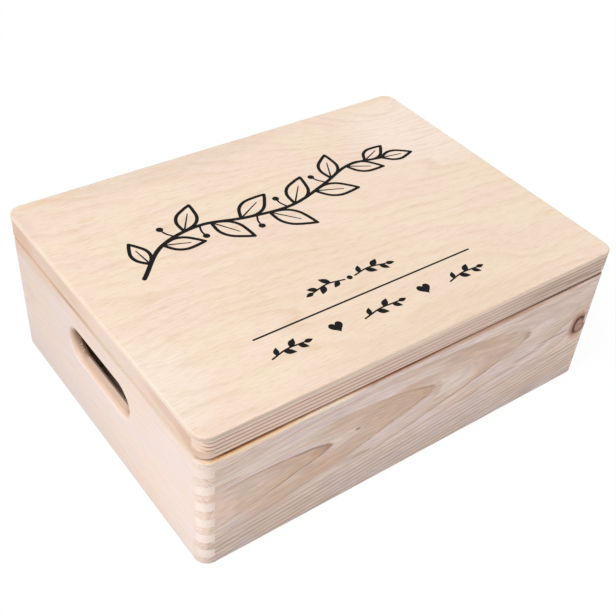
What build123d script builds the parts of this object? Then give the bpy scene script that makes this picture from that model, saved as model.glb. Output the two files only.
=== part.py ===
"""Keepsake box in solid pine with plywood top and bottom.

The four walls and the lid's four rails are boards with finger joints at rounded corners, and
the fingers alternate on across the seam. The body is open at the top, has a stadium-shaped
hand hole in each short wall, and holds its plywood bottom in a groove. The lid is a frame of
rails under a plywood panel. Two small butt hinges are let into the back of the seam. The
rounded back edges of the seam meet behind their pins and stop the open lid past upright.

The frame: origin at the centre of the footprint on the floor, X along the length with the
hand holes at both ends, +Y towards the hinges, +Z up. Lengths are in millimetres.
"""

import os

from build123d import *

# Carcass
length = 400.0  # outside, along X
depth = 300.0  # outside, along Y
body_height = 115.5  # floor to seam
wall_thickness = 11.0  # boards of the body and rails of the lid
corner_radius = 11.0  # outer upright corners, in plan
seam_ease = 3.0  # round-over on both sides of the seam
foot_bevel = 1.5  # bevel around the foot of the walls
body_finger_count = 13
lid_finger_count = 2

# Bottom
bottom_thickness = 4.0
bottom_recess = 4.0  # floor to the underside of the bottom
groove_depth = 5.0  # how far the bottom reaches into each wall
groove_play = 0.2  # room over the bottom in its groove

# Hand holes
hand_hole_length = 94.0
hand_hole_height = 30.0
hand_hole_drop = 22.5  # seam to the top of the hole
hand_hole_ease = 4.0  # round-over of the outer rim
hand_hole_bevel = 2.5  # bevel of the inner rim

# Lid
lid_gap = 0.5  # seam between the body and the closed lid
rail_height = 18.0
panel_thickness = 4.0
panel_ease = 1.5  # round-over of the panel's top edge

# Hinges
hinge_spacing = 240.0  # between the middles of the two hinges
hinge_length = 30.0
knuckle_count = 3
leaf_width = 6.4
leaf_thickness = 0.8
pin_radius = 0.7
pin_play = 0.05  # radial, in the lid's knuckles
knuckle_wall = 0.75
knuckle_play = 0.2  # between neighbouring knuckles
barrel_clearance = 0.3  # radial, between the knuckles and what turns past them
mortise_play = 0.15  # around the edges of a leaf

half_length = length / 2
half_depth = depth / 2
lid_z = body_height + lid_gap
rails_top_z = lid_z + rail_height
knuckle_radius = pin_radius + pin_play + knuckle_wall
axis_y = half_depth - knuckle_radius  # the knuckles lie flush with the back
axis_z = body_height + lid_gap / 2
plate_edge_y = axis_y - knuckle_radius - barrel_clearance  # where a leaf's plate ends
leaf_edge_y = plate_edge_y - leaf_width

BODY, LID = -1, 1  # which way from the seam a hinge piece lies


def slab(low, high):
    """A box between two opposite corners."""
    size = [b - a for a, b in zip(low, high)]
    middle = [(a + b) / 2 for a, b in zip(low, high)]
    return Pos(*middle) * Box(*size)


def rod_along_x(radius, x_low, x_high):
    """A cylinder on the hinge axis."""
    rod = Rot(0, 90, 0) * Cylinder(radius, x_high - x_low)
    return Pos((x_low + x_high) / 2, axis_y, axis_z) * rod


def rounded_block(z_low, z_high):
    """The box's outer form between two heights."""
    outline = RectangleRounded(length, depth, corner_radius)
    return Pos(0, 0, z_low) * extrude(outline, z_high - z_low)


def bottom_rim(block):
    """The edges round a block's lower end."""
    return block.edges().group_by(Axis.Z)[0]


def top_rim(block):
    """The edges round a block's upper end."""
    return block.edges().group_by(Axis.Z)[-1]


def finger_bands(z_low, z_high, count):
    """(low, high) of each of the equal fingers that share a height."""
    pitch = (z_high - z_low) / count
    return [(z_low + index * pitch, z_low + (index + 1) * pitch) for index in range(count)]


def long_board(side, z_low, z_high, fingers):
    """A front (side -1) or back (side 1) board with its fingers, square-edged."""
    outer, inner = side * half_depth, side * (half_depth - wall_thickness)
    y_low, y_high = min(outer, inner), max(outer, inner)
    between = half_length - wall_thickness
    board = slab((-between, y_low, z_low), (between, y_high, z_high))
    for low, high in fingers:
        board += slab((-half_length, y_low, low), (half_length, y_high, high))
    return board


def short_board(side, z_low, z_high, fingers):
    """A left (side -1) or right (side 1) board with its fingers, square-edged."""
    outer, inner = side * half_length, side * (half_length - wall_thickness)
    x_low, x_high = min(outer, inner), max(outer, inner)
    between = half_depth - wall_thickness
    board = slab((x_low, -between, z_low), (x_high, between, z_high))
    for low, high in fingers:
        board += slab((x_low, -half_depth, low), (x_high, half_depth, high))
    return board


def bottom_panel(play=0.0):
    """The plywood bottom, or with play the groove that the walls give it."""
    reach_x = half_length - wall_thickness + groove_depth
    reach_y = half_depth - wall_thickness + groove_depth
    top_z = bottom_recess + bottom_thickness + play
    return slab((-reach_x, -reach_y, bottom_recess), (reach_x, reach_y, top_z))


def cut_hand_hole(board, side):
    """A short wall with its hand hole, rounded over outside and bevelled inside."""
    middle_z = body_height - hand_hole_drop - hand_hole_height / 2
    outer_x, inner_x = side * half_length, side * (half_length - wall_thickness)
    outside = Plane(origin=(outer_x, 0, middle_z), x_dir=(0, 1, 0), z_dir=(side, 0, 0))
    inside = Plane(origin=(inner_x, 0, middle_z), x_dir=(0, 1, 0), z_dir=(side, 0, 0))
    hole = extrude(outside * SlotOverall(hand_hole_length, hand_hole_height), wall_thickness, both=True)
    wide = SlotOverall(hand_hole_length + 2 * hand_hole_bevel, hand_hole_height + 2 * hand_hole_bevel)
    flare = extrude(inside * wide, hand_hole_bevel, taper=45)
    pierced = board - hole
    outer_rim = new_edges(board, hole, combined=pierced).group_by(Axis.X)[-1 if side > 0 else 0]
    return fillet(outer_rim, hand_hole_ease) - flare


def knuckle_spans(side):
    """(low, high) in x of each knuckle on one leaf of a hinge in the middle of the box."""
    pitch = hinge_length / knuckle_count
    first = 0 if side == BODY else 1
    spans = []
    for index in range(first, knuckle_count, 2):
        start = -hinge_length / 2 + index * pitch
        spans.append((start + knuckle_play / 2, start + pitch - knuckle_play / 2))
    return spans


def leaf_heights(side):
    """(low, high) in z of a leaf's plate, let in flush with the wood on one side of the seam."""
    if side == BODY:
        return body_height - leaf_thickness, body_height
    return lid_z, lid_z + leaf_thickness


def hinge_leaf(side):
    """One leaf: a flat plate and its knuckles, rolled round the pin's axis."""
    z_low, z_high = leaf_heights(side)
    leaf = slab((-hinge_length / 2, leaf_edge_y, z_low), (hinge_length / 2, plate_edge_y, z_high))
    for x_low, x_high in knuckle_spans(side):
        leaf += slab((x_low, plate_edge_y, z_low), (x_high, axis_y, z_high))
        leaf += rod_along_x(knuckle_radius, x_low, x_high)
    bore_radius = pin_radius if side == BODY else pin_radius + pin_play
    return leaf - rod_along_x(bore_radius, -hinge_length / 2, hinge_length / 2)


def hinge_pocket(side):
    """What one hinge takes out of the board on one side of the seam."""
    z_low, z_high = leaf_heights(side)
    reach_x = hinge_length / 2 + mortise_play
    pocket = slab((-reach_x, leaf_edge_y - mortise_play, z_low), (reach_x, axis_y, z_high))
    return pocket + rod_along_x(knuckle_radius + barrel_clearance, -reach_x, reach_x)


def hinge_pin():
    return rod_along_x(pin_radius, -hinge_length / 2, hinge_length / 2)


hinge_places = {"left": Pos(-hinge_spacing / 2, 0, 0), "right": Pos(hinge_spacing / 2, 0, 0)}

nodes = {}

# Body
body_form = rounded_block(0, body_height)
body_form = chamfer(bottom_rim(body_form), foot_bevel)
body_form = fillet(top_rim(body_form), seam_ease)
body_bands = finger_bands(0, body_height, body_finger_count)
long_fingers, short_fingers = body_bands[0::2], body_bands[1::2]
groove = bottom_panel(play=groove_play)
nodes["front_wall"] = (long_board(-1, 0, body_height, long_fingers) & body_form) - groove
nodes["back_wall"] = (long_board(1, 0, body_height, long_fingers) & body_form) - groove
for name, side in (("left_wall", -1), ("right_wall", 1)):
    board = (short_board(side, 0, body_height, short_fingers) & body_form) - groove
    nodes[name] = cut_hand_hole(board, side)
nodes["bottom_panel"] = bottom_panel()

# Lid
lid_form = rounded_block(lid_z, rails_top_z)
lid_form = fillet(bottom_rim(lid_form), seam_ease)
lid_bands = finger_bands(lid_z, rails_top_z, lid_finger_count)
short_fingers, long_fingers = lid_bands[0::2], lid_bands[1::2]
nodes["lid_front_rail"] = long_board(-1, lid_z, rails_top_z, long_fingers) & lid_form
nodes["lid_back_rail"] = long_board(1, lid_z, rails_top_z, long_fingers) & lid_form
nodes["lid_left_rail"] = short_board(-1, lid_z, rails_top_z, short_fingers) & lid_form
nodes["lid_right_rail"] = short_board(1, lid_z, rails_top_z, short_fingers) & lid_form
lid_panel = rounded_block(rails_top_z, rails_top_z + panel_thickness)
nodes["lid_panel"] = fillet(top_rim(lid_panel), panel_ease)

# Hinges
for name, place in hinge_places.items():
    nodes["back_wall"] -= place * hinge_pocket(BODY)
    nodes["lid_back_rail"] -= place * hinge_pocket(LID)
    nodes[f"{name}_hinge_body_leaf"] = place * hinge_leaf(BODY)
    nodes[f"{name}_hinge_lid_leaf"] = place * hinge_leaf(LID)
    nodes[f"{name}_hinge_pin"] = place * hinge_pin()

os.makedirs("parts", exist_ok=True)
for name, shape in nodes.items():
    export_step(shape, f"parts/{name}.step")
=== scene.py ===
"""Looks of the pine keepsake box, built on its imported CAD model. Lengths are in metres, but
the wood's textures, the screws and the print are laid out in millimetres."""

import math
from dataclasses import dataclass
from functools import reduce

import bpy
from mathutils import Matrix, Vector
from mathutils.geometry import delaunay_2d_cdt


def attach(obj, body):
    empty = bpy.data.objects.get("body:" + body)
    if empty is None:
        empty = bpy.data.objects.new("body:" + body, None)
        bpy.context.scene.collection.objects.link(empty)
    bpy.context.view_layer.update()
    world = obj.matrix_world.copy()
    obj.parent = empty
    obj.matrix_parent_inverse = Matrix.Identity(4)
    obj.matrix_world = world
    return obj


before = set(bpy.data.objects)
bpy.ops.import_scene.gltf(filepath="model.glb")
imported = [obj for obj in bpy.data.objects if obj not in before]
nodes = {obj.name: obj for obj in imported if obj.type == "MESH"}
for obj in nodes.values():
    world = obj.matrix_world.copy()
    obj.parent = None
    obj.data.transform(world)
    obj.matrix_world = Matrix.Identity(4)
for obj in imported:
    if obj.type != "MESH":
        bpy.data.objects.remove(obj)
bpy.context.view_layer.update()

MM = 0.001
AXES = "XYZ"


def extent(node_name, axis):
    """The (lowest, highest) place of a CAD node along an axis, in mm, with the lid closed."""
    places = [vertex.co[AXES.index(axis)] / MM for vertex in nodes[node_name].data.vertices]
    return round(min(places), 1), round(max(places), 1)


HALF_LENGTH = extent("lid_panel", "X")[1]
HALF_DEPTH = extent("lid_panel", "Y")[1]
SEAM_BELOW = extent("front_wall", "Z")[1]
SEAM_ABOVE = extent("lid_front_rail", "Z")[0]


# ---- Node graphs


class Graph:
    """A material's node tree, with short calls for the nodes that the materials are made of."""

    def __init__(self, name):
        self.material = bpy.data.materials.new(name)
        self.material.use_nodes = True
        self.tree = self.material.node_tree
        self.shader = self.tree.nodes["Principled BSDF"]

    def feed(self, socket, value):
        """Links a socket to another, or sets its value."""
        if isinstance(value, bpy.types.NodeSocket):
            self.tree.links.new(value, socket)
        else:
            socket.default_value = value

    def add(self, kind, inputs, **settings):
        node = self.tree.nodes.new(kind)
        for key, value in settings.items():
            setattr(node, key, value)
        for key, value in inputs.items():
            self.feed(node.inputs[key], value)
        return node

    def math(self, operation, a, b=0.0, c=0.0, clamp=False):
        inputs = {0: a, 1: b, 2: c}
        return self.add("ShaderNodeMath", inputs, operation=operation, use_clamp=clamp).outputs[0]

    def total(self, *terms):
        return reduce(lambda a, b: self.math("ADD", a, b), terms)

    def times(self, *factors):
        return reduce(lambda a, b: self.math("MULTIPLY", a, b), factors)

    def scaled(self, value, factor):
        return self.times(value, factor)

    def squared(self, value):
        return self.times(value, value)

    def vector(self, x, y, z):
        return self.add("ShaderNodeCombineXYZ", {0: x, 1: y, 2: z}).outputs[0]

    def noise(self, vector, detail=2.0, roughness=0.5, distortion=0.0):
        """Noise between about -0.5 and 0.5, one blob per unit of the vector."""
        inputs = {"Vector": vector, "Scale": 1.0, "Detail": detail, "Roughness": roughness}
        inputs["Distortion"] = distortion
        return self.math("SUBTRACT", self.add("ShaderNodeTexNoise", inputs).outputs[0], 0.5)

    def noise_at(self, x, y, z, **settings):
        return self.noise(self.vector(x, y, z), **settings)

    def ramp(self, value, stops, interpolation="LINEAR"):
        """A colour ramp from (position, grey or colour) stops."""
        node = self.add("ShaderNodeValToRGB", {0: value})
        ramp = node.color_ramp
        ramp.interpolation = interpolation
        while len(ramp.elements) < len(stops):
            ramp.elements.new(0.5)
        for element, (position, shade) in zip(ramp.elements, stops):
            element.position = position
            tone = (shade,) * 3 if isinstance(shade, float) else tuple(shade)
            element.color = tone + (1,)
        return node.outputs[0]

    def span(self, value, low, high, to_low=0.0, to_high=1.0):
        """Maps low..high to to_low..to_high smoothly, and clamps outside it."""
        inputs = {0: value, 1: low, 2: high, 3: to_low, 4: to_high}
        return self.add("ShaderNodeMapRange", inputs, interpolation_type="SMOOTHSTEP").outputs[0]

    def mix(self, factor, a, b, blend="MIX"):
        a, b = (c if isinstance(c, bpy.types.NodeSocket) else tuple(c) + (1,) for c in (a, b))
        inputs = {0: factor, 6: a, 7: b}  # 6 and 7 are the sockets for colours
        node = self.add("ShaderNodeMix", inputs, data_type="RGBA", blend_type=blend, clamp_result=False)
        return node.outputs[2]

    def tinted(self, color, tint, factor=1.0):
        """A colour multiplied by a tint, as far as the factor says."""
        return self.mix(factor, color, tint, "MULTIPLY")

    def shaded(self, color, shade):
        return self.tinted(color, self.vector(shade, shade, shade))

    def bump(self, height, distance_mm, strength=1.0):
        inputs = {"Height": height, "Distance": distance_mm * MM, "Strength": strength}
        self.feed(self.shader.inputs["Normal"], self.add("ShaderNodeBump", inputs).outputs[0])

    def finish(self, color, roughness, specular):
        self.feed(self.shader.inputs["Base Color"], color)
        self.feed(self.shader.inputs["Roughness"], roughness)
        self.feed(self.shader.inputs["Specular IOR Level"], specular)
        return self.material


def dress(node_name, material):
    """Gives a CAD node its material."""
    for slot in nodes[node_name].material_slots:
        slot.material = material


# ---- Wood

# (place within a ring from 0 to 1, how much late wood shows there)
BROAD_RINGS = [(0.0, 0.55), (0.03, 0.06), (0.25, 0.0), (0.55, 0.16), (0.82, 0.6), (0.97, 1.0), (1.0, 0.9)]
PLY_RINGS = [(0.0, 0.7), (0.12, 0.05), (0.55, 0.08), (0.88, 1.0), (1.0, 0.95)]
FLAME_RINGS = [(0.0, 0.6), (0.03, 0.06), (0.16, 0.08), (0.36, 0.62), (0.6, 0.85), (0.97, 1.0), (1.0, 0.9)]
FOOT_RINGS = [(0.0, 0.8), (0.2, 0.0), (0.4, 0.0), (0.85, 1.0), (1.0, 1.0)]

KNOT_HALO = (0.60, 0.33, 0.21)
KNOT_SCORCHED = (0.36, 0.19, 0.12)
KNOT_HEART_DARK, KNOT_HEART_LIGHT = (0.34, 0.15, 0.09), (0.50, 0.32, 0.27)
KNOT_BARK = (0.10, 0.018, 0.004)
SEAM_SHADE_WARM, SEAM_SHADE_GREY = (0.28, 0.16, 0.085), (0.25, 0.205, 0.175)
SAWN_TINT = (0.95, 0.84, 0.72)
SAWN_END_SHADE, OVERHANG_SHADE = (0.36, 0.27, 0.18), (0.46, 0.36, 0.28)
DASH_TINT = (0.88, 0.79, 0.69)
PANEL_EDGE_PAINTED_SHADE = (0.91, 0.88, 0.87)
GLUE = (0.34, 0.21, 0.15)

BLUNT_TIP = 8.0  # mm from the heart line within which a flame's tip is rounded
CROWDED_FROM = 36.0  # mm from the heart line beyond which rings may crowd
SEAM_GAP_SIGHT = 9 * MM  # how far the seam's shade looks for the wood across the gap
PLY_RING = 3.4  # levels of the peeled veneer's relief between two rings


def toned(color, factors):
    return tuple(part * factor for part, factor in zip(color, factors))


class Board(Graph):
    """A board's material, with the board's own coordinates in mm.

    s runs along the grain, out through the thickness and w across the width. outward is the
    signed axis that the board's outer face looks along."""

    def __init__(self, name, along, outward, seed):
        super().__init__(name)
        self.along, self.outward = along, outward
        self.s, self.out, self.w = self.coordinates()
        self.offset = seed * 37.0  # gives each board noise of its own

    def coordinates(self):
        place = self.add("ShaderNodeTexCoord", {}).outputs["Object"]
        in_mm = self.add("ShaderNodeVectorMath", {0: place, "Scale": 1 / MM}, operation="SCALE")
        axes = self.add("ShaderNodeSeparateXYZ", {0: in_mm.outputs[0]}).outputs
        sign, axis = (-1 if self.outward[0] == "-" else 1), self.outward[-1]
        across = [name for name in AXES if name not in (self.along, axis)][0]
        out = self.scaled(axes[AXES.index(axis)], sign)
        return axes[AXES.index(self.along)], out, axes[AXES.index(across)]

    def facing(self, axis):
        """How squarely a face looks along an axis, either way: 1 for squarely."""
        normal = self.add("ShaderNodeTexCoord", {}).outputs["Normal"]
        parts = self.add("ShaderNodeSeparateXYZ", {0: normal}).outputs
        return self.math("ABSOLUTE", parts[AXES.index(axis)])

    def along_board(self, stops):
        """A grey or colour that changes along the grain, from (s in mm, shade) stops."""
        share = self.scaled(self.total(self.s, HALF_LENGTH), 0.5 / HALF_LENGTH)
        return self.ramp(share, [(0.5 + 0.5 * at / HALF_LENGTH, shade) for at, shade in stops])

    def blobs(self, length, width, depth=math.inf, own=True, **settings):
        """Noise in blobs of about these sizes along, across and through the board, in mm.

        Every board has its own, unless own is False."""
        along = self.scaled(self.s, 1 / length)
        if own:
            along = self.total(along, self.offset)
        across, through = self.scaled(self.w, 1 / width), self.scaled(self.out, 1 / depth)
        return self.noise_at(along, across, through, **settings)

    def squared_distance(self, s_at, w_at, s_reach, w_reach, *drift):
        """The squared distance from a place, where 1 is as far as s_reach or w_reach."""
        along = self.scaled(self.total(self.s, -s_at), 1 / s_reach)
        across = self.scaled(self.total(self.w, -w_at, *drift), 1 / w_reach)
        return self.total(self.squared(along), self.squared(across))

    def hill(self, s_at, w_at, s_reach, w_reach):
        """1 at a place on the board, and smoothly less away from it."""
        near = self.squared_distance(s_at, w_at, s_reach, w_reach)
        return self.math("EXPONENT", self.scaled(near, -1.0))

    def add_marks(self, color, ragged, marks):
        """Streaks and patches of another tone, each (s, w, length, width, tone, strength), in mm."""
        for mark_s, mark_w, length, width, tone, strength in marks:
            drift = self.scaled(ragged, min(1.0, width / 14.0))
            near = self.squared_distance(mark_s, mark_w, length / 2, width / 2, drift)
            color = self.mix(self.span(near, 0.15, 1.0, strength, 0.0), color, tone)
        return color


@dataclass
class Figure:
    """What tells one pine board from another, in mm, with s along the grain and w across it.

    A flame is the tongue that a ring makes in a board cut beside the trunk's middle."""

    tip: float = 0.0  # s of a flame's end
    period: float = 105.0  # from one flame's end to the next
    heart: float = 70.0  # w of the line on which the flames lie
    climb: float = 0.0  # how far that line climbs for each mm along
    below: float = 27.0  # one ring's width across the board under the line
    above: float = 22.0  # one ring's width across the board over the line
    rise: float = 0.0  # by what share above grows for each mm along
    crowd: float = 0.0  # how much the rings crowd away from the line
    dense: float = 0.0  # rings added for each mm beyond CROWDED_FROM
    ring: float = 3.2  # one ring's depth into the wood
    wave: float = 1.0  # how wavy the rings are
    flame: float = 0.0  # how much late wood stains the flames
    contrast: float = 1.0  # of the rings with the wood between them
    line: float = 0.07  # the share of a ring that its dark line takes
    line_depth: float = 0.75  # how dark the dark lines are
    upper_lines: float = 1.0  # their strength over the heart line
    line_stops: tuple = ()  # their strength along the grain
    foot_lines: float = 0.0  # strength of the broader lines that crowd at the foot
    feather: float = 0.12  # how far the fibres fray a ring's edge
    fading: float = 1.0  # how unevenly the rings show
    fine: float = 1.0  # strength of the fine grain
    early: tuple = (0.77, 0.62, 0.555)  # the wood between the rings
    late: tuple = (0.60, 0.395, 0.255)  # the rings
    dark: tuple = (0.42, 0.26, 0.175)  # their dark lines
    end_tone: tuple = ()  # the end grain, or nothing for a tone made from early
    lengthwise: float = 0.0  # how much lighter the wood gets for each mm along
    foot: float = 1.0  # brightness at the foot, a painted shade towards the floor
    tints: tuple = ()  # marks that lie under the rings
    marks: tuple = ()  # marks that lie over the rings
    knots: tuple = ()  # (s, w, radius) of each
    rim: tuple = ()  # height of the eased edge at the seam, its painted light and shade, the strength of its painted seam shade, along the grain
    hand_hole: tuple = ()  # half its length, its lowest and its highest, without its easing


class Pine(Board):
    """Pine with the flame figure of a board cut beside the trunk's middle."""

    def __init__(self, name, along, outward, face, seed, figure):
        super().__init__(name, along, outward, seed)
        self.face, self.figure = face, figure
        self.ends = self.span(self.facing(along), 0.35, 0.9)
        self.slow = self.blobs(130, 42, 30)
        self.quick = self.blobs(30, 10, 9)
        self.grain = self.blobs(24, 1.9, 1.9, detail=3.0, roughness=0.65, distortion=0.25)
        self.fibre = self.blobs(9, 0.45, 0.45, roughness=0.6)
        self.from_heart = self.total(self.w, -figure.heart, self.scaled(self.s, -figure.climb))
        self.reach = self.math("ABSOLUTE", self.from_heart)
        self.count = self.count_rings()

    def count_rings(self):
        """The number of rings passed since a flame's tip, with its fraction."""
        figure = self.figure
        blunt = self.math("DIVIDE", self.squared(self.reach), self.total(self.reach, BLUNT_TIP))
        widened = self.times(self.total(1.0, self.scaled(self.s, figure.rise)), figure.above)
        sides = {0: self.from_heart, 1: -BLUNT_TIP, 2: BLUNT_TIP, 3: figure.below, 4: widened}
        one_ring = self.add("ShaderNodeMapRange", sides).outputs[0]
        across = self.math("DIVIDE", blunt, self.math("MAXIMUM", one_ring, 0.5))
        across = self.times(across, self.total(1.0, self.scaled(self.reach, figure.crowd)))
        beyond = self.math("MAXIMUM", self.total(self.reach, -CROWDED_FROM), 0.0)
        count = self.total(self.scaled(self.total(self.s, -figure.tip), 1 / figure.period), across,
                           self.scaled(beyond, figure.dense),
                           self.scaled(self.total(self.out, -self.face), 1 / figure.ring),
                           self.scaled(self.slow, 0.62 * figure.wave),
                           self.scaled(self.quick, 0.13 * figure.wave))
        for knot_s, knot_w, size in figure.knots:
            bend = self.hill(knot_s, knot_w, 2.4 * size, 1.6 * size)
            count = self.total(count, self.scaled(bend, 0.7))
        return count

    def late_wood(self):
        """(stain, line): how much late wood shows at a point, and its thin dark line."""
        figure = self.figure
        phase = self.math("FRACT", self.total(self.count, self.scaled(self.grain, figure.feather)))
        patchy = self.noise_at(self.scaled(self.count, 0.9), self.scaled(self.s, 1 / 70), self.offset)
        fade = self.total(0.92 - 0.3 * figure.fading, self.scaled(patchy, 1.9 * figure.fading))
        stain = self.ramp(phase, BROAD_RINGS)
        if figure.flame:
            ragged = self.total(self.reach, self.scaled(self.quick, 22.0), self.scaled(self.slow, 18.0))
            inside = self.span(ragged, 30.0, 12.0, 0.0, figure.flame)
            stain = self.mix(inside, stain, self.ramp(phase, FLAME_RINGS))
            fade = self.total(fade, self.scaled(inside, 0.55))
        stain = self.math("MULTIPLY", stain, fade, clamp=True)
        width = figure.line
        falling = [(0.0, 0.9), (0.25 * width, 0.0)]
        rising = [(1 - width, 0.0), (1 - 0.3 * width, 1.0), (1.0, 1.0)]
        line = self.ramp(phase, falling + rising)
        line = self.math("MULTIPLY", line, self.total(fade, 0.12), clamp=True)
        line = self.times(line, self.span(self.from_heart, 8.0, 24.0, 1.0, figure.upper_lines))
        if figure.line_stops:
            line = self.times(line, self.along_board(figure.line_stops))
        if figure.foot_lines:
            low = self.span(self.from_heart, -28.0, -46.0, 0.0, figure.foot_lines)
            closer = self.times(self.ramp(phase, FOOT_RINGS), low, self.total(0.35, self.scaled(fade, 0.65)))
            line = self.math("MAXIMUM", line, closer)
        return stain, line

    def wood_color(self, stain, line):
        figure = self.figure
        blotch = self.blobs(60, 26, 60)
        greyer = toned(figure.early, (0.985, 0.995, 1.035))
        warmer = toned(figure.early, (1.01, 0.98, 0.93))
        color = self.mix(self.span(blotch, -0.16, 0.16), greyer, warmer)
        color = self.add_marks(color, self.scaled(self.slow, 6.0), figure.tints)
        softer = self.total(1.0, self.scaled(self.ends, -0.75))
        stained = self.times(self.scaled(stain, 0.72 * figure.contrast), softer)
        color = self.mix(stained, color, figure.late)
        lined = self.times(self.scaled(line, figure.line_depth * figure.contrast), softer)
        color = self.mix(lined, color, figure.dark)
        ragged = self.total(self.scaled(self.quick, 9.0), self.scaled(self.slow, 6.0))
        color = self.add_marks(color, ragged, figure.marks)
        color = self.shaded(color, self.fine_shade())
        end_grain = figure.end_tone or toned(figure.early, (0.98, 0.95, 0.92))
        pores = self.blobs(3, 0.8, 0.8, own=False)
        porous = self.mix(self.span(pores, -0.3, 0.3), end_grain, color)
        return self.mix(self.scaled(self.ends, 0.6), color, porous)

    def fine_shade(self):
        """Brightness from the fibres, the grain and its streaks, and from the place on the board, with a
        painted shade towards the foot.
        """
        figure = self.figure
        along = self.total(self.scaled(self.s, 1 / 75), self.offset)
        streak = self.noise_at(along, self.scaled(self.count, 8.0), self.scaled(self.w, 1 / 9),
                               detail=2.5, roughness=0.6)
        fine = self.total(self.scaled(self.fibre, 0.14 * figure.fine),
                          self.scaled(self.grain, 0.42 * figure.fine),
                          self.scaled(streak, 0.26 * figure.fine))
        # The span over w is a painted shade towards the foot.
        return self.total(1.0, fine, self.scaled(self.s, figure.lengthwise),
                          self.span(self.w, 2.0, 46.0, figure.foot - 1.0, 0.0))

    def add_knot(self, color, knot_s, knot_w, size):
        """A knot with a broken dark ring of bark, a reddish heart and an orange halo."""
        along, across = self.total(self.s, -knot_s), self.total(self.w, -knot_w)
        slanted = self.total(self.scaled(across, 0.86), self.scaled(along, 0.1))
        reach = self.math("SQRT", self.total(self.squared(along), self.squared(slanted)))
        reach = self.total(reach, self.scaled(self.quick, 0.45 * size))
        rings = self.noise_at(self.scaled(reach, 9.0 / size), self.offset, 0.0, detail=1.0)
        flecks = self.noise_at(self.scaled(self.s, 2.6 / size), self.scaled(self.w, 5.0 / size), self.offset)
        frayed = self.total(reach, self.scaled(flecks, 0.8 * size))
        color = self.mix(self.span(frayed, 0.8 * size, 1.9 * size, 0.85, 0.0), color, KNOT_HALO)
        bright_side = self.span(self.total(along, self.scaled(across, -0.5)), -0.4 * size, 0.7 * size)
        flecked = self.total(reach, self.scaled(flecks, 0.5 * size))
        burnt = self.span(flecked, 1.0 * size, 1.6 * size, 0.8, 0.0)
        burnt = self.times(burnt, self.total(1.0, self.scaled(bright_side, -1.0)))
        color = self.mix(burnt, color, KNOT_SCORCHED)
        heart = self.mix(self.span(self.total(rings, flecks), -0.3, 0.3), KNOT_HEART_DARK, KNOT_HEART_LIGHT)
        from_bark = self.math("ABSOLUTE", self.total(reach, -0.78 * size))
        bark = self.span(from_bark, 0.04 * size, 0.34 * size, 1.0, 0.0)
        bark = self.times(bark, self.total(1.0, self.scaled(bright_side, -0.7), flecks))
        heart = self.mix(bark, heart, KNOT_BARK)
        return self.mix(self.span(reach, 0.90 * size, 1.12 * size, 1.0, 0.0), color, heart)

    def add_seam(self, color):
        """Painted light and shade on the eased edge, and the painted shade in the seam, which shows only
        while it is closed.
        """
        height, painted_edge_light, shade = self.figure.rim
        slope = self.facing("Z")
        near = self.span(self.math("ABSOLUTE", self.total(self.w, -height)), 3.4, 1.9)
        eased = self.times(self.span(slope, 0.9995, 0.997), near)
        # Painted light and shade on the eased edge near the seam, set along the board.
        soft = self.times(eased, self.span(slope, 0.05, 0.5))
        color = self.tinted(color, self.along_board(painted_edge_light), soft)
        # Painted shade in the seam, where the wood across the gap is near, which it is only while the lid is
        # closed.
        sight = {"Distance": SEAM_GAP_SIGHT}
        openness = self.add("ShaderNodeAmbientOcclusion", sight, samples=8).outputs["AO"]
        closed = self.span(openness, 0.98, 0.74)
        core = self.times(eased, self.span(slope, 0.50, 0.67), closed)
        # Further along the board, the painted seam shade spares the part that faces straight into the gap,
        # which stays lighter.
        further = self.span(self.s, -90.0, -20.0, 0.0, 0.85)
        lighter = self.times(self.span(slope, 0.88, 0.98), further)
        core = self.times(core, self.total(1.0, self.scaled(lighter, -1.0)), self.along_board(shade))
        darkest = self.mix(self.span(self.s, -60.0, 110.0), SEAM_SHADE_WARM, SEAM_SHADE_GREY)
        return self.tinted(color, darkest, core)

    def add_hand_hole(self, color):
        """The sawn wall of the hand hole, with painted shade far inside it: on its end grain, which is darker
        of itself too, and under its upper side.
        """
        half, low, high = self.figure.hand_hole
        along = self.math("ABSOLUTE", self.s)
        inside = self.times(self.span(along, half + 5, half + 4), self.span(self.w, low - 5, low - 4),
                            self.span(self.w, high + 5, high + 4))
        sawn = self.times(inside, self.span(self.facing(self.outward[-1]), 0.97, 0.6))
        color = self.tinted(color, SAWN_TINT, sawn)
        # Painted shade, stronger further into the hole.
        deep_painted_shade = self.times(sawn, self.span(self.out, self.face - 3.0, self.face - 9.0))
        rough = self.blobs(2.2, 1.3, 2.2, own=False)
        # End grain far inside the hole: partly its own darker colour, partly painted shade.
        end_grain_and_painted_shade = self.times(deep_painted_shade, self.span(along, half - 20.0, half - 8.0),
                                  self.span(rough, 0.12, -0.12, 0.35, 1.0))
        color = self.tinted(color, SAWN_END_SHADE, end_grain_and_painted_shade)
        # Painted shade under the hole's upper side.
        overhang_painted_shade = self.times(deep_painted_shade, self.span(self.w, low + 6.0, high - 6.0))
        return self.tinted(color, OVERHANG_SHADE, overhang_painted_shade)

    def build(self):
        stain, line = self.late_wood()
        color = self.wood_color(stain, line)
        for knot in self.figure.knots:
            color = self.add_knot(color, *knot)
        if self.figure.rim:
            color = self.add_seam(color)
        if self.figure.hand_hole:
            color = self.add_hand_hole(color)
        relief = self.total(self.scaled(self.grain, 0.7), self.scaled(self.fibre, 0.4),
                            self.scaled(line, 0.5))
        self.bump(relief, 0.05, 0.7)
        roughness = self.total(0.58, self.scaled(self.grain, 0.12), self.scaled(line, -0.08))
        return self.finish(color, roughness, 0.3)


def dress_in_pine(node_name, outward, seed, **figure):
    """Gives a board its pine. The boards in front and behind run along X, and the others along Y."""
    along, face = ("X", HALF_DEPTH) if outward[-1] == "Y" else ("Y", HALF_LENGTH)
    dress(node_name, Pine(f"pine_{node_name}", along, outward, face, seed, Figure(**figure)).build())


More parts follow.
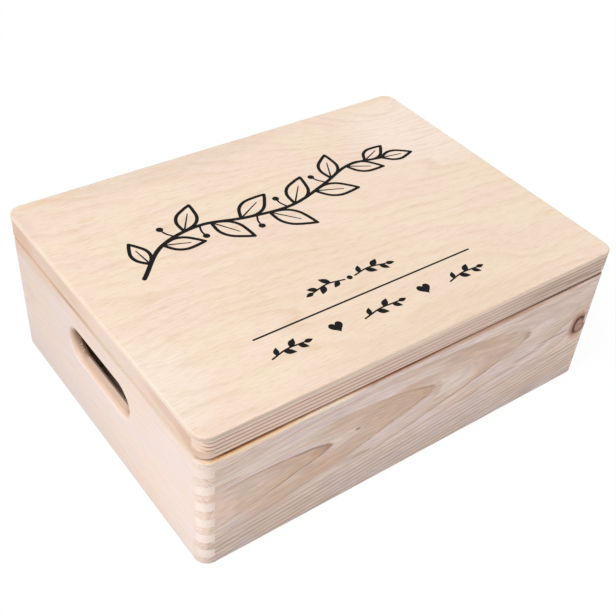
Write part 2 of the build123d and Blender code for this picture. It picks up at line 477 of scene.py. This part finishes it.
class Plywood(Board):
    """Thin plywood lying flat: a peeled softwood veneer with plies along its edges.

    heights are its faces' in mm. An eye is (x, y, radius, pull) of a swirl. dashes is the
    strength of the short dark grain marks along x, and front_edge the brightness of the front
    edge. lightness is how much lighter the veneer gets for each mm along and across."""

    def __init__(self, name, seed, heights, eyes=(), marks=(), early=(0.825, 0.680, 0.555),
                 late=(0.72, 0.53, 0.39), dashes=(), lightness=(0.0, 0.0), front_edge=()):
        super().__init__(name, "X", "Z", seed)
        self.low, self.high = heights
        self.eyes, self.marks, self.dashes = eyes, marks, dashes
        self.early, self.late = early, late
        self.lightness, self.front_edge = lightness, front_edge
        self.local = self.blobs(55, 15, distortion=0.3)
        self.fibre = self.blobs(8, 0.45, roughness=0.6)
        self.grain = self.bent_noise(22, 1.3, 3.0, 5.0, detail=3.0, roughness=0.6)
        self.upright = self.facing("Z")

    def bent_noise(self, length, width, bend, layer, **settings):
        """Noise in blobs of these sizes in mm that sway with the figure, from a layer of its own."""
        swaying = self.total(self.w, self.scaled(self.local, bend))
        return self.noise_at(self.total(self.scaled(self.s, 1 / length), self.offset),
                             self.scaled(swaying, 1 / width), layer, **settings)

    def lateness(self):
        """How much late wood the peeled veneer shows at a point."""
        broad = self.blobs(300, 95)
        level = self.total(self.scaled(broad, 34.0), self.scaled(self.local, 2.6), self.scaled(self.w, 0.21),
                           self.scaled(self.s, 0.02))
        for eye_x, eye_y, radius, pull in self.eyes:
            level = self.total(level, self.scaled(self.hill(eye_x, eye_y, 1.2 * radius, radius), pull))
        phase = self.math("FRACT", self.scaled(level, 1 / PLY_RING))
        fade = self.noise_at(self.scaled(level, 0.16), self.scaled(self.s, 1 / 60), self.offset)
        shown = self.total(0.45, self.scaled(fade, 2.4))
        return self.math("MULTIPLY", self.ramp(phase, PLY_RINGS), shown, clamp=True)

    def dark_dashes(self):
        dash = self.bent_noise(10, 1.2, 4.0, 0.0, detail=1.5, roughness=0.55, distortion=0.5)
        dark = self.math("MINIMUM", self.total(dash, -0.02), 0.0)
        return self.times(dark, self.along_board(self.dashes)) if self.dashes else dark

    def face_color(self, dashes):
        blotch = self.noise_at(self.total(self.scaled(self.s, 1 / 70), self.scaled(self.w, 1 / 160)),
                               self.scaled(self.w, 1 / 45), self.offset)
        pinker = toned(self.early, (1.0, 0.965, 0.985))
        yellower = toned(self.early, (1.0, 1.005, 0.965))
        color = self.mix(self.span(blotch, -0.18, 0.18), pinker, yellower)
        color = self.add_marks(color, self.scaled(self.local, 6.0), self.marks)
        color = self.mix(self.scaled(self.lateness(), 0.55), color, self.late)
        lighter_along, lighter_across = self.lightness
        shade = self.total(1.0, self.scaled(self.grain, 0.15), self.scaled(self.fibre, 0.08),
                           self.scaled(self.s, lighter_along), self.scaled(self.w, lighter_across))
        color = self.tinted(self.shaded(color, shade), DASH_TINT, self.scaled(dashes, -2.6))
        # Painted shade on the eased edge round the panel's top, which dulls the highlight that it catches.
        eased = self.times(self.span(self.upright, 0.97, 0.8), self.span(self.upright, 0.2, 0.5))
        return self.tinted(color, PANEL_EDGE_PAINTED_SHADE, eased)

    def edge_color(self):
        """Three plies and two glue lines, plain to see on the front and back edges only."""
        ply = self.scaled(self.total(self.out, -self.low), 1 / (self.high - self.low))
        wander = self.noise_at(self.scaled(self.s, 1 / 50), self.scaled(self.w, 1 / 50), self.offset,
                               detail=1.0)
        ply = self.total(ply, self.scaled(wander, 0.10))
        plain = self.facing("Y")
        veneer = toned(self.early, (0.97, 0.96, 0.97))
        core = toned(self.early, (0.90, 0.86, 0.86))
        in_core = self.ramp(ply, [(0.29, 0.0), (0.31, 1.0), (0.69, 1.0), (0.71, 0.0)])
        glue = self.ramp(ply, [(0.27, 0.0), (0.30, 1.0), (0.35, 0.0), (0.65, 0.0), (0.70, 1.0), (0.73, 0.0)])
        core_shown = self.times(in_core, self.total(0.15, self.scaled(plain, 0.85)))
        glue_shown = self.times(glue, self.total(0.06, self.scaled(plain, 0.80)))
        plies = self.mix(glue_shown, self.mix(core_shown, veneer, core), GLUE)
        grit = self.noise_at(self.scaled(self.s, 0.7), self.scaled(self.w, 0.7), self.scaled(self.out, 2.4),
                             detail=3.0)
        return self.shaded(plies, self.total(1.0, self.scaled(grit, 0.14)))

    def build(self):
        dashes = self.dark_dashes()
        color = self.mix(self.span(self.upright, 0.55, 0.25), self.face_color(dashes), self.edge_color())
        if self.front_edge:
            in_front = self.span(self.w, -HALF_DEPTH + 20.0, -HALF_DEPTH + 4.0)
            shown = self.times(self.span(self.upright, 0.95, 0.5), in_front)
            color = self.tinted(color, self.along_board(self.front_edge), shown)
        relief = self.total(self.scaled(self.grain, 0.6), self.scaled(self.fibre, 0.4),
                            self.scaled(dashes, 0.6))
        self.bump(relief, 0.04, 0.7)
        return self.finish(color, self.total(0.55, self.scaled(self.grain, 0.12)), 0.3)


def dress_in_plywood(node_name, seed, **look):
    dress(node_name, Plywood(f"plywood_{node_name}", seed, extent(node_name, "Z"), **look).build())


# ---- The boards. A mark or tint is (s, w, length, width, tone, strength), a rim has painted light and
# shade on the eased edge by s, and a shade has strengths by s of the painted shade in the seam. Lengths are
# in mm.

HAND_HOLE = (47, 63, 93)  # half its length, its lowest and its highest, in mm
STAIN = (0.64, 0.43, 0.325)
PITCH_LINE = (0.2, 0.11, 0.07)
BROWN_LINE = (0.36, 0.22, 0.15)
GREY_LINE = (0.46, 0.33, 0.27)

# Painted shade on the front wall's eased top edge at the seam, warm and orange towards the left, by s.
FRONT_RIM_PAINTED_SHADE = [
    (-196, (0.83, 0.81, 0.73)), (-185, (0.88, 0.7, 0.5)), (-140, (0.9, 0.73, 0.56)),
    (-100, (0.99, 0.92, 0.82)), (-60, (0.86, 0.74, 0.64)), (-20, (0.76, 0.6, 0.51)),
    (60, (0.87, 0.74, 0.66)), (130, (0.85, 0.75, 0.69)), (200, (0.84, 0.75, 0.69))]
FRONT_SHADE = [
    (-196, 0.05), (-180, 0.95), (-145, 0.85), (-100, 0.42), (-60, 0.6), (-20, 0.85),
    (60, 0.38), (130, 0.9), (200, 0.75)]
# Most of these are the wood's own streaks and stains. Those at w from about 110 to 114 lie on and under the
# eased top edge: there the dark ones are painted shade, and the light ones partly the wood's lighter patch
# and partly a painted glow.
FRONT_MARKS_AND_PAINTED_EDGE_LIGHT = [
    (-152, 113, 130, 7, (1.0, 0.76, 0.52), 0.85), (-95, 113, 90, 5, (1.0, 0.86, 0.7), 0.8),
    (75, 112.4, 170, 4.2, (0.58, 0.4, 0.31), 0.85), (-98, 68, 24, 14, (0.52, 0.3, 0.2), 0.6),
    (35, 71, 56, 30, (0.8, 0.66, 0.59), 0.75), (-140, 90, 130, 12, (0.8, 0.66, 0.58), 0.8),
    (172, 101, 70, 18, (0.76, 0.605, 0.53), 0.75), (-95, 47, 80, 17, STAIN, 0.8),
    (-160, 56, 70, 34, (0.72, 0.52, 0.39), 0.5), (-28, 74, 84, 32, STAIN, 0.55),
    (5, 76, 14, 20, (0.6, 0.38, 0.25), 0.5), (90, 82, 62, 34, (0.64, 0.465, 0.375), 0.75),
    (40, 99, 70, 11, (0.65, 0.46, 0.355), 0.75), (-10, 104, 70, 9, (0.66, 0.48, 0.38), 0.6),
    (140, 105, 90, 2.6, (0.58, 0.41, 0.33), 0.6), (-64, 72, 7, 3.6, PITCH_LINE, 0.7),
    (-57, 40, 24, 3, BROWN_LINE, 0.6), (-113, 76, 20, 2.4, BROWN_LINE, 0.5),
    (150, 39, 60, 3, (0.46, 0.31, 0.23), 0.5), (152, 63.5, 52, 2.6, (0.42, 0.26, 0.19), 0.75),
    (150, 18, 130, 9, (0.64, 0.45, 0.34), 0.4), (-12, 89, 60, 13, STAIN, 0.75),
    (-142, 39, 62, 24, STAIN, 0.6), (-85, 56, 96, 20, STAIN, 0.5),
    (-72, 41, 56, 8, (0.62, 0.45, 0.37), 0.6), (15, 74, 14, 22, (0.64, 0.46, 0.38), 0.6),
    (112, 90, 42, 14, (0.66, 0.5, 0.43), 0.8), (92, 98, 44, 8, (0.67, 0.51, 0.43), 0.6),
    (127, 41, 64, 10, (0.67, 0.53, 0.47), 0.8), (-190, 57, 44, 64, (0.84, 0.63, 0.51), 0.6),
    (96, 49.5, 44, 3.2, GREY_LINE, 0.55), (121, 56, 44, 3.4, GREY_LINE, 0.6),
    (176, 110.6, 56, 5, (0.62, 0.46, 0.4), 0.75), (-135, 47, 30, 9, (0.66, 0.44, 0.33), 0.6),
    (138, 106, 110, 8, (0.67, 0.51, 0.44), 0.6), (90, 97, 60, 6, (0.66, 0.5, 0.43), 0.5)]
# Painted shade on the other eased edges at the seam, by s.
LEFT_RIM_PAINTED_SHADE = [
    (-60, (0.81, 0.79, 0.72)), (0, (0.78, 0.75, 0.66)), (40, (0.72, 0.63, 0.55)),
    (80, (0.85, 0.77, 0.68)), (150, (0.84, 0.75, 0.65))]
LEFT_SHADE = [(0, 0.0), (40, 0.28), (75, 0.1), (150, 0.1)]
PLAIN_RIM_PAINTED_SHADE = [(-200, (0.83, 0.79, 0.7)), (200, (0.78, 0.72, 0.62))]
PLAIN_SHADE = [(-200, 0.2), (200, 0.2)]
NO_SHADE = [(-200, 0.0), (200, 0.0)]

dress_in_pine(
    "front_wall", "-Y", seed=1, tip=12, heart=75, climb=0.055, below=29.5, above=36, rise=0.0035,
    crowd=0.0167, dense=0.12, wave=0.5, flame=0.75, line=0.06, line_depth=1.0, upper_lines=0.35,
    foot_lines=0.42, fine=1.75, end_tone=(0.81, 0.665, 0.575), foot=0.86, knots=[(183.5, 62, 9)],
    rim=(SEAM_BELOW, FRONT_RIM_PAINTED_SHADE, FRONT_SHADE), marks=FRONT_MARKS_AND_PAINTED_EDGE_LIGHT)
dress_in_pine(
    "back_wall", "Y", seed=2, tip=-60, period=-95, heart=48, climb=-0.03, below=24, above=28,
    crowd=0.012, flame=0.6, foot=0.93, rim=(SEAM_BELOW, PLAIN_RIM_PAINTED_SHADE, PLAIN_SHADE), knots=[(-96, 84, 6.5)])
dress_in_pine(
    "left_wall", "-X", seed=3, tip=30, period=420, heart=-80, above=6.5, contrast=0.1, fine=0.55,
    early=(0.765, 0.627, 0.560), lengthwise=-0.0006, foot=0.93, hand_hole=HAND_HOLE,
    rim=(SEAM_BELOW, LEFT_RIM_PAINTED_SHADE, LEFT_SHADE),
    marks=[(112, 116, 160, 34, (0.715, 0.525, 0.395), 0.95),
           (0, 112, 460, 20, (0.74, 0.58, 0.49), 0.5),
           (122, 68, 26, 20, (0.7, 0.54, 0.45), 0.45),
           (-149, 52, 18, 124, (0.85, 0.74, 0.675), 0.7)])
dress_in_pine(
    "right_wall", "X", seed=4, tip=20, period=130, heart=40, below=16, above=19, crowd=0.01,
    contrast=0.7, foot=0.93, rim=(SEAM_BELOW, PLAIN_RIM_PAINTED_SHADE, PLAIN_SHADE), hand_hole=HAND_HOLE)

RAIL = {"heart": 60, "above": 3.6, "line": 0.36, "wave": 0.16, "fading": 0.35, "ring": 7, "feather": 0.25}
RING_LINE = (0.33, 0.22, 0.175)
# Painted light that brightens most of the lid front rail's eased lower edge against its shade over the seam,
# by s.
LID_FRONT_RIM_PAINTED_LIGHT = [
    (-196, (0.95, 0.9, 0.83)), (-185, (1.3, 1.25, 1.05)), (-100, (1.28, 1.3, 1.15)),
    (-60, (1.5, 1.42, 1.3)), (-20, (1.6, 1.55, 1.45)), (60, (1.45, 1.4, 1.35)),
    (130, (1.5, 1.75, 1.9)), (200, (1.5, 1.8, 2.0))]
# Painted shade on the lid left rail's eased lower edge, by s.
LID_LEFT_RIM_PAINTED_SHADE = [
    (-60, (0.84, 0.82, 0.76)), (0, (0.84, 0.81, 0.74)), (60, (0.92, 0.88, 0.82)),
    (150, (0.86, 0.78, 0.7))]

dress_in_pine(
    "lid_front_rail", "-Y", seed=5, tip=-106, period=400, line_depth=0.95,
    early=(0.82, 0.62, 0.52), late=(0.6, 0.39, 0.29), dark=(0.33, 0.2, 0.15),
    line_stops=[(-200, 1.0), (-80, 0.8), (0, 0.4), (90, 0.5), (190, 0.9)],
    rim=(SEAM_ABOVE, LID_FRONT_RIM_PAINTED_LIGHT, NO_SHADE),
    tints=[(30, 125, 260, 44, (0.72, 0.55, 0.455), 0.9),
           (150, 124, 160, 44, (0.62, 0.465, 0.385), 0.95)],
    marks=[(118, 127.4, 40, 1.8, RING_LINE, 0.6), (140, 125.7, 38, 2, RING_LINE, 0.75),
           (160, 123.8, 36, 2.3, RING_LINE, 0.85), (179, 121.8, 32, 2.4, RING_LINE, 0.85)],
    **RAIL)
dress_in_pine(
    "lid_back_rail", "Y", seed=6, tip=-40, period=-700, contrast=0.7,
    rim=(SEAM_ABOVE, PLAIN_RIM_PAINTED_SHADE, PLAIN_SHADE), **RAIL)
dress_in_pine(
    "lid_left_rail", "-X", seed=7, tip=-361.5, period=-900, contrast=0.2, fine=0.6,
    early=(0.765, 0.6, 0.505), rim=(SEAM_ABOVE, LID_LEFT_RIM_PAINTED_SHADE, NO_SHADE),
    tints=[(75, 125, 170, 44, (0.69, 0.52, 0.405), 0.9),
           (128, 122, 60, 40, (0.67, 0.44, 0.31), 0.85),
           (-108, 129, 70, 16, (0.68, 0.48, 0.37), 0.7),
           (-142, 126, 56, 18, (0.64, 0.42, 0.31), 0.8)],
    **RAIL)
dress_in_pine(
    "lid_right_rail", "X", seed=8, tip=10, period=900, contrast=0.7,
    rim=(SEAM_ABOVE, PLAIN_RIM_PAINTED_SHADE, PLAIN_SHADE), **RAIL)

RESIN = (0.8, 0.54, 0.33)
RESIN_SPOT = (0.82, 0.58, 0.4)
PANEL_MARKS = [
    (-60, 146, 330, 56, (0.76, 0.622, 0.505), 0.95),
    (20, -146, 300, 64, (0.775, 0.622, 0.49), 0.95),
    (40, -100, 330, 84, (0.785, 0.632, 0.498), 0.5),
    (-35, -45, 230, 110, (0.8, 0.648, 0.510), 0.9),
    (185, 85, 190, 150, (0.865, 0.73, 0.63), 0.9),
    (-200, -90, 90, 130, (0.845, 0.715, 0.61), 0.8),
    (-204, 124, 34, 60, (0.74, 0.6, 0.505), 0.7),
    (-152, 104, 20, 7, RESIN, 0.35), (-170, 143, 60, 8, RESIN, 0.45),
    (-60, 137, 22, 12, RESIN_SPOT, 0.3), (50, 141, 14, 12, RESIN_SPOT, 0.35),
    (96, 142, 18, 8, RESIN_SPOT, 0.35), (192, 146, 16, 12, RESIN_SPOT, 0.4)]

dress_in_plywood(
    "lid_panel", seed=9, eyes=[(142, -99, 17, 7.5), (165, 150, 90, 26)], marks=PANEL_MARKS,
    dashes=[(-200, 1.0), (-60, 0.9), (40, 0.8), (200, 0.7)], lightness=(-0.00012, 0.0),
    front_edge=[(-190, 0.84), (-120, 0.92), (-90, 1.0), (-20, 1.12), (60, 1.12), (130, 1.02),
                (200, 0.92)])
dress_in_plywood("bottom_panel", seed=10, early=(0.73, 0.59, 0.475))


# ---- Hinges


def plated_steel(name, tint, scratch_axis):
    """Bright zinc-plated sheet: a soft sheen with fine scratches and faint clouding."""
    g = Graph(name)
    place = g.add("ShaderNodeTexCoord", {}).outputs["Object"]
    axes = g.add("ShaderNodeSeparateXYZ", {0: place}).outputs
    fine = [1 / (0.25 * MM)] * 3
    fine[AXES.index(scratch_axis)] = 1 / (6 * MM)
    scratches = g.noise_at(*(g.scaled(axis, scale) for axis, scale in zip(axes, fine)), detail=3.0)
    clouds = g.noise_at(*(g.scaled(axis, 1 / (7 * MM)) for axis in axes), detail=3.0)
    darker = tuple(0.8 * c for c in tint)
    color = g.mix(g.span(clouds, -0.25, 0.25), darker, tint)
    g.feed(g.shader.inputs["Metallic"], 1.0)
    g.bump(scratches, 0.01, 0.5)
    return g.finish(color, g.total(0.34, g.scaled(clouds, 0.2), g.scaled(scratches, 0.15)), 0.5)


def mesh_piece(name, points, faces, material, body):
    """A mesh in metres from points in mm, riding on a body."""
    mesh = bpy.data.meshes.new(name)
    mesh.from_pydata([Vector(point) * MM for point in points], [], faces)
    mesh.materials.append(material)
    piece = bpy.data.objects.new(name, mesh)
    bpy.context.scene.collection.objects.link(piece)
    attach(piece, body)


def prism(outline, z_low, z_high, points, faces):
    """Adds to points and faces an upright prism on an outline that runs anticlockwise."""
    first, count = len(points), len(outline)
    points += [(x, y, z_low) for x, y in outline] + [(x, y, z_high) for x, y in outline]
    faces.append([first + index for index in reversed(range(count))])
    faces.append([first + count + index for index in range(count)])
    for index in range(count):
        following = (index + 1) % count
        faces.append([first + index, first + following, first + count + following, first + count + index])


SCREW_RADIUS = 1.75  # mm
SCREW_CROWN_RADIUS = 0.96 * SCREW_RADIUS
SCREW_SLOT = 0.45
SCREW_SLOT_FLOOR, SCREW_PROUD = 0.03, 0.13  # mm over the leaf
SCREW_Y = 143.4
SCREW_FROM_MIDDLE = 9.0  # along the leaf
SCREW_STEPS = 20  # to each half turn


def screw_head(name, x, z, up, body, material):
    """The slotted head of a countersunk screw, a little proud of the leaf that it holds.

    up is 1 where the head looks up from z, and -1 where it looks down."""
    turn = math.radians(37 + 53 * x)  # each slot stops at another angle
    points, faces = [], []

    def disc_part(angles, radius, height):
        outline = [(x + radius * math.cos(turn + a), SCREW_Y + radius * math.sin(turn + a)) for a in angles]
        low, high = sorted((z, z + up * height))
        prism(outline, low, high, points, faces)

    disc_part([math.pi * i / SCREW_STEPS for i in range(2 * SCREW_STEPS)], SCREW_RADIUS, SCREW_SLOT_FLOOR)
    start = math.asin(SCREW_SLOT / 2 / SCREW_RADIUS)
    step = (math.pi - 2 * start) / SCREW_STEPS
    for half in (0, math.pi):
        arc = [half + start + step * i for i in range(SCREW_STEPS + 1)]
        disc_part(arc, SCREW_CROWN_RADIUS, SCREW_PROUD)
    mesh_piece(name, points, faces, material, body)


leaf_metal = plated_steel("zinc_plate", (0.90, 0.875, 0.82), "X")
screw_metal = plated_steel("screw_zinc", (0.97, 0.96, 0.93), "Y")
for side in ("left", "right"):
    for part in ("body_leaf", "lid_leaf", "pin"):
        dress(f"{side}_hinge_{part}", leaf_metal)
    hinge_x = sum(extent(f"{side}_hinge_body_leaf", "X")) / 2
    for end, screw_x in (("outer", hinge_x - SCREW_FROM_MIDDLE), ("inner", hinge_x + SCREW_FROM_MIDDLE)):
        screw_head(f"{side}_hinge_body_screw_{end}", screw_x, SEAM_BELOW, 1, "box", screw_metal)
        screw_head(f"{side}_hinge_lid_screw_{end}", screw_x, SEAM_ABOVE, -1, "lid", screw_metal)


# ---- Printed ornament on the lid


def smooth_line(points, per_span=8):
    """Points along a smooth line through the given ones."""
    points = [Vector(point) for point in points]
    ends = [2 * points[0] - points[1]] + points + [2 * points[-1] - points[-2]]
    line = []
    for a, b, c, d in zip(ends, ends[1:], ends[2:], ends[3:]):
        for index in range(per_span):
            t = index / per_span
            line.append(0.5 * (2 * b + (c - a) * t + (2 * a - 5 * b + 4 * c - d) * t ** 2
                               + (3 * b - a - 3 * c + d) * t ** 3))
    return line + [points[-1]]


PRINT_SUNK, PRINT_PROUD = 0.04, 0.12  # mm under and over the lid's top


class Ornament:
    """Flat shapes that overlap freely, joined into one thin raised print."""

    def __init__(self):
        self.points = []
        self.shapes = []

    def shape(self, outline):
        first = len(self.points)
        self.points += [Vector(point) for point in outline]
        self.shapes.append(list(range(first, first + len(outline))))

    def disc(self, center, radius, steps=20):
        angles = [2 * math.pi * index / steps for index in range(steps)]
        self.shape([Vector(center) + radius * Vector((math.cos(a), math.sin(a))) for a in angles])

    def stroke(self, line, width, end_width=None):
        """A round-ended brush stroke along a line, from width to end_width."""
        end_width = width if end_width is None else end_width
        sides = []
        for index, point in enumerate(line):
            ahead = line[min(index + 1, len(line) - 1)] - line[max(index - 1, 0)]
            across = Vector((-ahead.y, ahead.x)).normalized()
            half = 0.5 * (width + (end_width - width) * index / (len(line) - 1))
            sides.append((point - half * across, point + half * across))
        for (right, left), (next_right, next_left) in zip(sides, sides[1:]):
            self.shape([right, next_right, next_left, left])
        self.disc(line[0], 0.5 * width)
        self.disc(line[-1], 0.5 * end_width)

    def leaf(self, base, heading, length, width, line_width=None):
        """A pointed leaf: an outline with a midrib, or filled where line_width is None."""
        ahead = Vector((math.cos(heading), math.sin(heading)))
        across = Vector((-ahead.y, ahead.x))
        base = Vector(base)

        def edge(side):
            offsets = [(0.0, 0.0), (0.28, 0.44), (0.55, 0.5), (0.82, 0.24), (1.0, 0.0)]
            return smooth_line([base + ahead * length * a + across * side * width * b for a, b in offsets], 6)

        if line_width is None:
            self.shape(edge(-1) + list(reversed(edge(1)))[1:-1])
            return
        self.stroke(edge(-1), line_width)
        self.stroke(edge(1), line_width)
        self.stroke([base, base + ahead * length * 0.66], 0.55 * line_width, 0.3 * line_width)

    def heart(self, center, width, height):
        outline = []
        for index in range(48):
            t = 2 * math.pi * index / 48
            x = 16 * math.sin(t) ** 3
            y = 13 * math.cos(t) - 5 * math.cos(2 * t) - 2 * math.cos(3 * t) - math.cos(4 * t)
            outline.append(Vector(center) + Vector((x * width / 32, (y + 2.5) * height / 29)))
        self.shape(list(reversed(outline)))

    def build(self, name, z_low, z_high, material, body, slot):
        corners, _, triangles, _, _, owners = delaunay_2d_cdt(self.points, [], self.shapes, 1, 1e-5)
        kept = [triangle for triangle, owner in zip(triangles, owners) if owner]
        used = sorted({index for triangle in kept for index in triangle})
        number = {old: new for new, old in enumerate(used)}
        points = [(*corners[index], z_low) for index in used] + [(*corners[index], z_high) for index in used]
        above = len(used)
        faces, edges = [], set()
        for triangle in kept:
            a, b, c = (number[index] for index in triangle)
            faces += [(c, b, a), (a + above, b + above, c + above)]
            edges |= {(a, b), (b, c), (c, a)}
        faces += [(a, b, b + above, a + above) for a, b in sorted(edges) if (b, a) not in edges]
        mesh_piece(name, points, faces, material, body)


def ink():
    """Matt black print that lets a little of the grain through."""
    g = Board("black_print", "X", "Z", seed=0)
    grain = g.noise_at(g.scaled(g.s, 1 / 12), g.scaled(g.w, 1 / 0.7), 3.0, detail=3.0)
    color = g.mix(g.span(grain, -0.1, 0.4), (0.006, 0.006, 0.0065), (0.016, 0.014, 0.013))
    g.bump(grain, 0.03, 0.5)
    return g.finish(color, g.total(0.62, g.scaled(grain, 0.12)), 0.2)


def sprig(print_, line, leaves, length, width, line_width=None, opening=0.85):
    """Leaves by turns on either side of a stem, smaller towards its ends, and one at its tip."""
    for number in range(leaves):
        share = (number + 0.7) / (leaves + 0.5)
        place = share * (len(line) - 1)
        index = min(int(place), len(line) - 2)
        point = line[index].lerp(line[index + 1], place - index)
        along = line[index + 1] - line[index]
        side = 1 if number % 2 == 0 else -1
        size = 0.72 + 0.34 * math.sin(math.pi * share)
        heading = math.atan2(along.y, along.x) + side * opening * (1.0 - 0.25 * share)
        print_.leaf(point, heading, length * size, width * size, line_width)
    along = line[-1] - line[-2]
    print_.leaf(line[-1], math.atan2(along.y, along.x), 0.8 * length, 0.8 * width, line_width)


def lid_ornament():
    """A rule with two hearts, and leafy sprigs where the lid carries words."""
    print_ = Ornament()
    print_.stroke([Vector((-117.3, -86.4)), Vector((92.0, -85.9))], 1.6)
    for heart_x in (-57.6, 27.4):
        print_.heart((heart_x, -106.8), 11.8, 11.2)

    stem_points = [(-149, 14), (-118, 43), (-78, 52), (-38, 42), (4, 38), (46, 50), (84, 64), (118, 59)]
    stem, leaves = smooth_line(stem_points, 10), 11
    print_.stroke(stem, 3.8, 3)
    sprig(print_, stem, leaves, 39, 17.5, 3)
    for leaf_number in (2, 3, 5, 6, 8):
        at = int((leaf_number + 0.42) / (leaves + 0.5) * (len(stem) - 1))
        along = (stem[at + 1] - stem[at - 1]).normalized()
        across = Vector((-along.y, along.x)) * (1 if leaf_number % 2 == 0 else -1)
        berry = stem[at] + 15 * across - 2 * along
        print_.stroke(smooth_line([stem[at], stem[at] + 8 * across - 2.5 * along, berry], 6), 1.7)
        print_.disc(berry, 3)

    for side in (1, -1):
        garland = smooth_line([(-14 + 5 * side, -65), (-14 + 20 * side, -62.5), (-14 + 35 * side, -65.5)], 8)
        print_.stroke(garland, 1.4)
        sprig(print_, garland, 4, 10.4, 5)
    print_.disc((-14, -65), 2.4)
    for low_x, high_x in ((-117, -88), (-34, 0), (51, 81)):
        twig = smooth_line([(low_x, -110), (0.5 * (low_x + high_x), -106.5), (high_x, -107)], 8)
        print_.stroke(twig, 1.4)
        sprig(print_, twig, 4, 9.8, 4.8)
    top = extent("lid_panel", "Z")[1]
    print_.build("lid_print", top - PRINT_SUNK, top + PRINT_PROUD, ink(), "lid", "plywood")


lid_ornament()


# ---- Stage, light and camera


FLOOR_GLOW = 0.94
FLOOR_LEFT, FLOOR_RIGHT, FLOOR_HALF_DEPTH = -40, 80, 60  # m, so that its diagonal misses the box
FLOOR_DROP = 0.1 * MM  # under the box's foot
FILL, BACKDROP, KEY = 0.33, 1, 3  # strengths
KEY_ANGLE = math.radians(35)  # how wide the key light looks, for soft shadows
KEY_FROM = Vector((-1.05, -0.28, 1.8))


def floor():
    """A nearly black sheet that glows, so that it shows white with a faint soft shadow."""
    g = Graph("floor_paper")
    place = g.add("ShaderNodeTexCoord", {}).outputs["Object"]
    tooth = g.noise(g.add("ShaderNodeVectorMath", {0: place, "Scale": 40}, operation="SCALE").outputs[0])
    color = g.mix(g.span(tooth, -0.3, 0.3), (0.050, 0.050, 0.050), (0.054, 0.054, 0.054))
    g.shader.inputs["Emission Color"].default_value = (1, 1, 1, 1)
    g.shader.inputs["Emission Strength"].default_value = FLOOR_GLOW
    mesh = bpy.data.meshes.new("floor")
    near, far = -FLOOR_HALF_DEPTH, FLOOR_HALF_DEPTH
    plan = [(FLOOR_LEFT, near), (FLOOR_RIGHT, near), (FLOOR_RIGHT, far), (FLOOR_LEFT, far)]
    mesh.from_pydata([(x, y, -FLOOR_DROP) for x, y in plan], [], [(0, 1, 2, 3)])
    mesh.materials.append(g.finish(color, 0.9, 0.0))
    plane = bpy.data.objects.new("floor", mesh)
    bpy.context.scene.collection.objects.link(plane)


def studio():
    """A soft key light from the left and a dim fill. Where the camera sees past the floor, white."""
    world = bpy.data.worlds.new("studio")
    world.use_nodes = True
    tree = world.node_tree
    fill = tree.nodes["Background"]
    backdrop = tree.nodes.new("ShaderNodeBackground")
    for node, strength in ((fill, FILL), (backdrop, BACKDROP)):
        node.inputs["Color"].default_value = (1.0, 1.0, 1.0, 1)
        node.inputs["Strength"].default_value = strength
    seen = tree.nodes.new("ShaderNodeLightPath")
    choice = tree.nodes.new("ShaderNodeMixShader")
    tree.links.new(seen.outputs["Is Camera Ray"], choice.inputs[0])
    tree.links.new(fill.outputs[0], choice.inputs[1])
    tree.links.new(backdrop.outputs[0], choice.inputs[2])
    tree.links.new(choice.outputs[0], tree.nodes["World Output"].inputs["Surface"])
    bpy.context.scene.world = world
    light = bpy.data.lights.new("key", "SUN")
    light.energy = KEY
    light.angle = KEY_ANGLE
    lamp = bpy.data.objects.new("key", light)
    lamp.location = KEY_FROM
    lamp.rotation_euler = (-KEY_FROM).to_track_quat("-Z", "Y").to_euler()
    bpy.context.scene.collection.objects.link(lamp)
    bpy.context.scene.view_settings.view_transform = "Standard"


PHOTO_SIDE = 616.0  # pixels
SENSOR = 36.0  # mm
FOCAL_PIXELS = 972.21
OPTICAL_AXIS = (323.09, 361.27)  # pixels from the photograph's upper left corner
CAMERA_PLACE = (-0.41142, -0.50830, 0.60306)
CAMERA_YAW, CAMERA_PITCH, CAMERA_ROLL = 0.7077, -0.7517, 0.1032  # radians


def camera():
    yaw, pitch, roll = CAMERA_YAW, CAMERA_PITCH, CAMERA_ROLL
    forward = Vector((math.sin(yaw) * math.cos(pitch), math.cos(yaw) * math.cos(pitch), math.sin(pitch)))
    level = Vector((math.cos(yaw), -math.sin(yaw), 0))
    upward = level.cross(forward)
    right = math.cos(roll) * level + math.sin(roll) * upward
    up = math.cos(roll) * upward - math.sin(roll) * level
    data = bpy.data.cameras.new("camera")
    data.sensor_width = SENSOR
    data.lens = FOCAL_PIXELS * SENSOR / PHOTO_SIDE
    data.shift_x = 0.5 - OPTICAL_AXIS[0] / PHOTO_SIDE
    data.shift_y = OPTICAL_AXIS[1] / PHOTO_SIDE - 0.5
    data.clip_start = 0.01
    eye = bpy.data.objects.new("camera", data)
    turn = Matrix((right, up, -forward)).transposed().to_4x4()
    eye.matrix_world = Matrix.Translation(CAMERA_PLACE) @ turn
    bpy.context.scene.collection.objects.link(eye)
    bpy.context.scene.camera = eye


floor()
studio()
camera()
